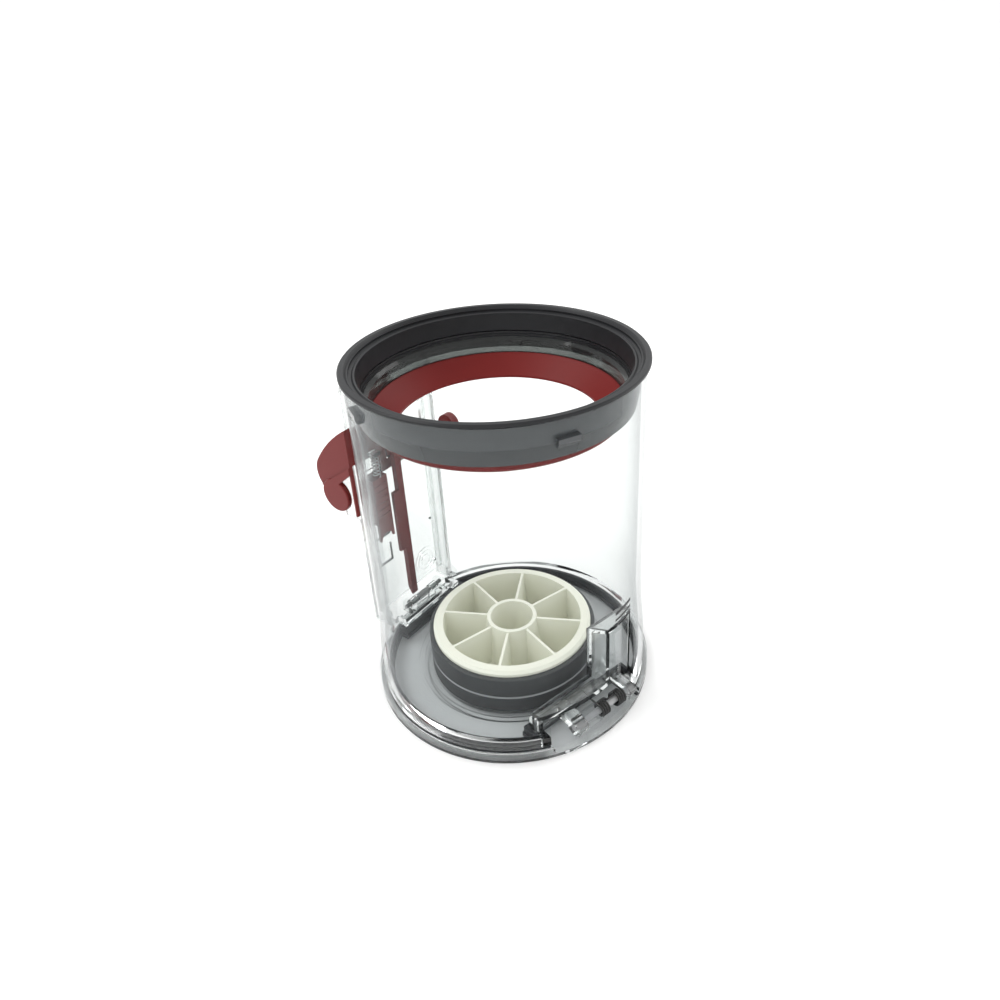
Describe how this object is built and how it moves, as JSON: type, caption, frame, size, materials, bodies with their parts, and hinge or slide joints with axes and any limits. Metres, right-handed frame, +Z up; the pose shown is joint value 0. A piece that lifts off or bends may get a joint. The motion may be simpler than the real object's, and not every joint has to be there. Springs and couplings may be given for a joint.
{
  "type": "cyclone dust bin",
  "caption": "Clear round dust bin with a rubber-rimmed mouth, a wiper ring, a side rail with a red release lever, and a hinged base that carries a spoked wheel.",
  "frame": {"origin": "on the bin's axis, in the plane that the base stands on", "axes": "+Z up along the bin's axis, -X towards the release rail"},
  "size_m": [0.1476, 0.125, 0.1539],
  "materials": {
    "clear_plastic": "clear, polished",
    "smoky_plastic": "smoky, polished",
    "grey_plastic": "mid grey, semi-gloss",
    "red_plastic": "deep red, satin",
    "red_rubber": "deep red, matte",
    "black_rubber": "charcoal, satin",
    "grey_rubber": "dark grey, satin",
    "cream_plastic": "cream, matte",
    "steel": "drawn wire and rod",
    "dark_steel": "black"
  },
  "bodies": {
    "bin": {"bin_body": "clear_plastic", "collar_ring": "grey_plastic", "top_seal": "black_rubber", "wiper_carrier": "smoky_plastic", "carrier_gasket": "black_rubber", "wiper_ring": "red_rubber", "rail_cover": "clear_plastic", "hinge_pin": "steel", "hinge_spring": "dark_steel", "base_hook_pin": "steel", "base_hook_spring": "steel", "rod_spring": "steel", "bin_catch_spring": "steel"},
    "base": {"base_lid": "clear_plastic", "base_seal": "grey_rubber", "boss_sleeve": "black_rubber", "vane_wheel": "cream_plastic", "lid_insert": "black_rubber"},
    "release": {"push_rod": "red_plastic", "release_lever": "red_plastic"},
    "hook": {"base_hook": "clear_plastic"},
    "catch": {"bin_catch": "red_plastic"}
  },
  "joints": [
    {"name": "base_hinge", "type": "hinge", "parent": "bin", "child": "base", "pos_m": [0.05422, -0.01402, 0.0067], "axis": [-0.2504, -0.9681, 0], "range_deg": [0, 100]},
    {"name": "release_slide", "type": "slide", "parent": "bin", "child": "release", "axis": [0, 0, -1], "range_m": [0, 0.009], "stiffness_N_per_m": 150, "springref_m": -0.004, "deforming": ["rod_spring"]},
    {"name": "hook_turn", "type": "hinge", "parent": "bin", "child": "hook", "pos_m": [-0.0566, 0, 0.012], "axis": [0, 1, 0], "range_deg": [0, 21]},
    {"name": "catch_slide", "type": "slide", "parent": "bin", "child": "catch", "axis": [0, 0, 1], "range_m": [0, 0.003], "stiffness_N_per_m": 300, "springref_m": -0.001, "deforming": ["bin_catch_spring"]}
  ],
  "couplings": [
    {"joint": "hook_turn", "follows": "release_slide", "rad_per_m": 38.785}
  ]
}
